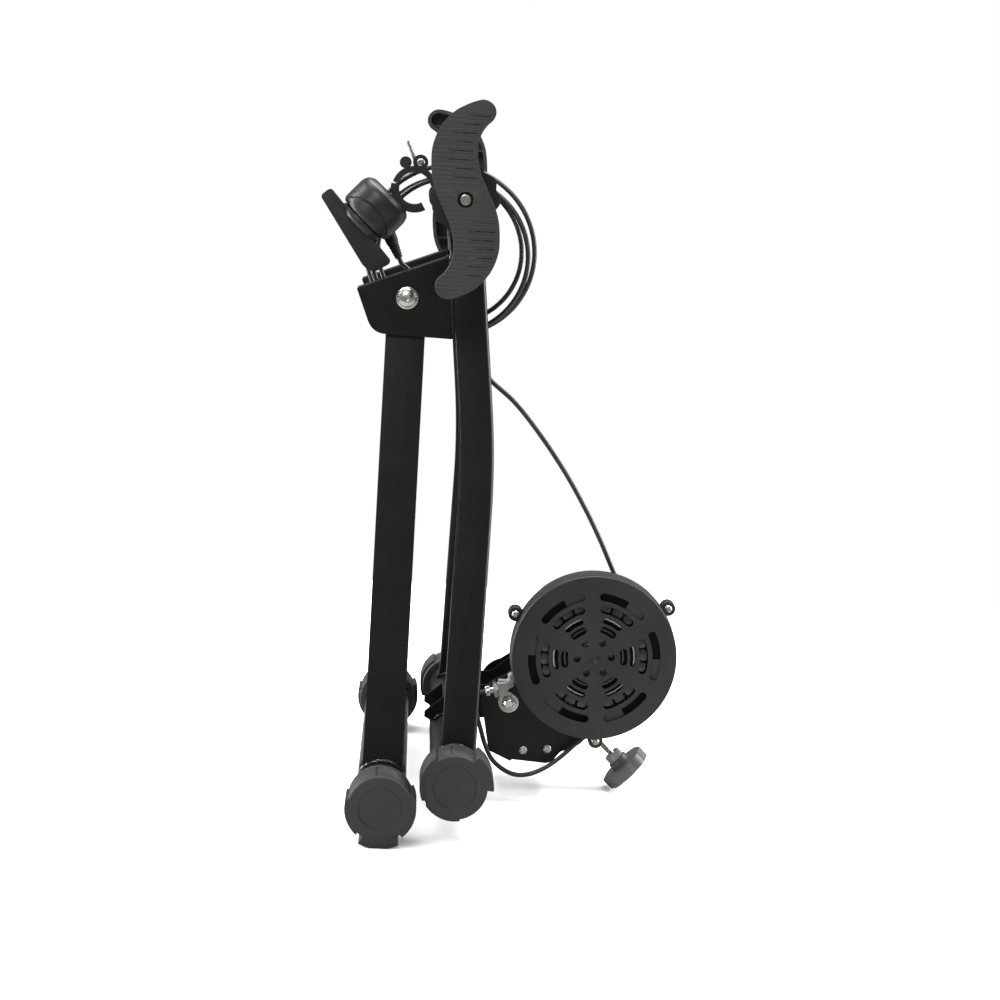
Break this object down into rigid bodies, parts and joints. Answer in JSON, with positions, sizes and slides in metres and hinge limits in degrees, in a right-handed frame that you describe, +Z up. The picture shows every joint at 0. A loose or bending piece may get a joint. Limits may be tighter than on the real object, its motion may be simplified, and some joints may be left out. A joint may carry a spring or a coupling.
{
  "type": "wheel-on bike trainer",
  "caption": "Folding bike trainer stand, folded upright: screw clamps for the wheel axle, a swinging magnetic brake with a roller and flywheel, and a cabled thumb lever.",
  "frame": {"origin": "bottom centre of the box round the folded trainer without its cable, on the floor", "axes": "+Z up; +X from the front legs towards the resistance unit; +Y towards the trainer's right side, so the brake housing and the remote lever are at -Y"},
  "size_m": [0.314, 0.48, 0.5852],
  "materials": {
    "black_paint": "satin black powder coat",
    "plated_steel": "bright zinc or chrome plate",
    "machined_steel": "turned",
    "rotor_aluminium": "turned",
    "black_plastic": "fine grain",
    "grey_plastic": "smooth",
    "boot_rubber": "matt",
    "cable_jacket": "smooth"
  },
  "bodies": {
    "rear_frame": {"rear_floor_tube": "black_paint", "left_rear_leg": "black_paint", "right_rear_leg": "black_paint", "left_hinge_bracket": "black_paint", "right_hinge_bracket": "black_paint", "left_hinge_bolt": "plated_steel", "right_hinge_bolt": "plated_steel", "left_hinge_nut": "plated_steel", "right_hinge_nut": "plated_steel", "left_clamp_sleeve": "black_paint", "right_clamp_sleeve": "black_paint", "unit_saddle": "black_paint", "unit_pivot_bolt": "plated_steel", "unit_pivot_nut": "plated_steel", "shifter_body": "black_plastic", "cable_boot": "boot_rubber", "cable_lead": "cable_jacket", "cable_coil": "cable_jacket", "cable_run": "cable_jacket"},
    "front_frame": {"front_floor_tube": "black_paint", "left_front_leg": "black_paint", "right_front_leg": "black_paint"},
    "left_front_foot": {"left_front_cap": "black_plastic"},
    "right_front_foot": {"right_front_cap": "black_plastic"},
    "left_rear_foot": {"left_rear_cap": "black_plastic"},
    "right_rear_foot": {"right_rear_cap": "black_plastic"},
    "left_clamp_spindle": {"left_spindle": "machined_steel"},
    "right_clamp_spindle": {"right_spindle": "machined_steel"},
    "left_clamp_handle": {"left_handle": "black_plastic", "left_handle_screw": "plated_steel"},
    "right_clamp_handle": {"right_handle": "black_plastic", "right_handle_screw": "plated_steel"},
    "left_clamp_ring": {"left_lock_ring": "black_plastic"},
    "right_clamp_ring": {"right_lock_ring": "black_plastic"},
    "resistance_unit": {"unit_frame": "black_paint", "housing_back": "black_plastic", "housing_cover": "black_plastic", "cover_screw_1": "plated_steel", "cover_screw_2": "plated_steel", "cover_screw_3": "plated_steel", "left_bearing": "plated_steel", "right_bearing": "plated_steel", "cable_adjuster": "plated_steel", "adjuster_nut": "plated_steel", "cable_lug": "grey_plastic"},
    "roller_assembly": {"roller": "machined_steel", "roller_shaft": "machined_steel", "rotor_disc": "rotor_aluminium", "flywheel": "machined_steel", "flywheel_nut": "plated_steel"},
    "magnet_ring": {"magnet_carrier": "machined_steel"},
    "screw_trunnion": {"tension_trunnion": "machined_steel"},
    "tension_screw_assembly": {"tension_screw": "plated_steel", "tension_lock_nut": "plated_steel", "tension_knob": "black_plastic"},
    "thumb_lever": {"shifter_lever": "black_plastic"},
    "handlebar_band": {"shifter_band": "black_plastic", "band_screw": "plated_steel"}
  },
  "joints": [
    {"name": "leg_fold", "type": "hinge", "parent": "rear_frame", "child": "front_frame", "pos_m": [-0.08304, 0, 0.4237], "axis": [0, 1, 0], "range_deg": [0, 66]},
    {"name": "left_front_foot_turn", "type": "hinge", "parent": "front_frame", "child": "left_front_foot", "pos_m": [-0.08504, 0, 0.0315], "axis": [0, 1, 0], "continuous": true},
    {"name": "left_rear_foot_turn", "type": "hinge", "parent": "rear_frame", "child": "left_rear_foot", "pos_m": [-0.02704, 0, 0.0483], "axis": [0, 1, 0], "continuous": true},
    {"name": "left_spindle_slide", "type": "slide", "parent": "rear_frame", "child": "left_clamp_spindle", "axis": [0, -1, 0], "range_m": [0, 0.03]},
    {"name": "left_handle_turn", "type": "hinge", "parent": "left_clamp_spindle", "child": "left_clamp_handle", "pos_m": [-0.04084, 0, 0.506], "axis": [0, -1, 0], "range_deg": [0, 3600]},
    {"name": "left_lock_ring_turn", "type": "hinge", "parent": "rear_frame", "child": "left_clamp_ring", "pos_m": [-0.04084, 0, 0.506], "axis": [0, -1, 0], "range_deg": [0, 800]},
    {"name": "right_front_foot_turn", "type": "hinge", "parent": "front_frame", "child": "right_front_foot", "pos_m": [-0.08504, 0, 0.0315], "axis": [0, 1, 0], "continuous": true},
    {"name": "right_rear_foot_turn", "type": "hinge", "parent": "rear_frame", "child": "right_rear_foot", "pos_m": [-0.02704, 0, 0.0483], "axis": [0, 1, 0], "continuous": true},
    {"name": "right_spindle_slide", "type": "slide", "parent": "rear_frame", "child": "right_clamp_spindle", "axis": [0, 1, 0], "range_m": [0, 0.03]},
    {"name": "right_handle_turn", "type": "hinge", "parent": "right_clamp_spindle", "child": "right_clamp_handle", "pos_m": [-0.04084, 0, 0.506], "axis": [0, 1, 0], "range_deg": [0, 3600]},
    {"name": "right_lock_ring_turn", "type": "hinge", "parent": "rear_frame", "child": "right_clamp_ring", "pos_m": [-0.04084, 0, 0.506], "axis": [0, 1, 0], "range_deg": [0, 800]},
    {"name": "tension_screw_turn", "type": "hinge", "parent": "screw_trunnion", "child": "tension_screw_assembly", "pos_m": [0.03346, 0, 0.107], "axis": [0.7249, 0, -0.6889], "range_deg": [0, 5544]},
    {"name": "unit_swing", "type": "hinge", "parent": "rear_frame", "child": "resistance_unit", "pos_m": [0.01916, 0, 0.081], "axis": [0, -1, 0], "range_deg": [0, 30], "deforming": ["cable_run"]},
    {"name": "trunnion_swivel", "type": "hinge", "parent": "rear_frame", "child": "screw_trunnion", "pos_m": [0.03346, 0, 0.107], "axis": [0, -1, 0], "range_deg": [0, 30]},
    {"name": "roller_spin", "type": "hinge", "parent": "resistance_unit", "child": "roller_assembly", "pos_m": [0.08696, 0, 0.1305], "axis": [0, 1, 0], "continuous": true},
    {"name": "magnet_ring_turn", "type": "hinge", "parent": "resistance_unit", "child": "magnet_ring", "pos_m": [0.08696, 0, 0.1305], "axis": [0, -1, 0], "range_deg": [0, 25]},
    {"name": "thumb_lever_turn", "type": "hinge", "parent": "rear_frame", "child": "thumb_lever", "pos_m": [-0.12194, -0.07, 0.4834], "axis": [-0.6801, 0, -0.7331], "range_deg": [0, 60]},
    {"name": "band_open", "type": "hinge", "parent": "rear_frame", "child": "handlebar_band", "pos_m": [-0.09954, -0.07, 0.5215], "axis": [0, -1, 0], "range_deg": [0, 35]}
  ],
  "couplings": [
    {"joint": "tension_screw_turn", "follows": "unit_swing", "ratio": 184.8},
    {"joint": "trunnion_swivel", "follows": "unit_swing", "ratio": 1},
    {"joint": "thumb_lever_turn", "follows": "magnet_ring_turn", "ratio": 2.4},
    {"joint": "left_handle_turn", "follows": "left_spindle_slide", "rad_per_m": 2094.4},
    {"joint": "right_handle_turn", "follows": "right_spindle_slide", "rad_per_m": 2094.4}
  ]
}
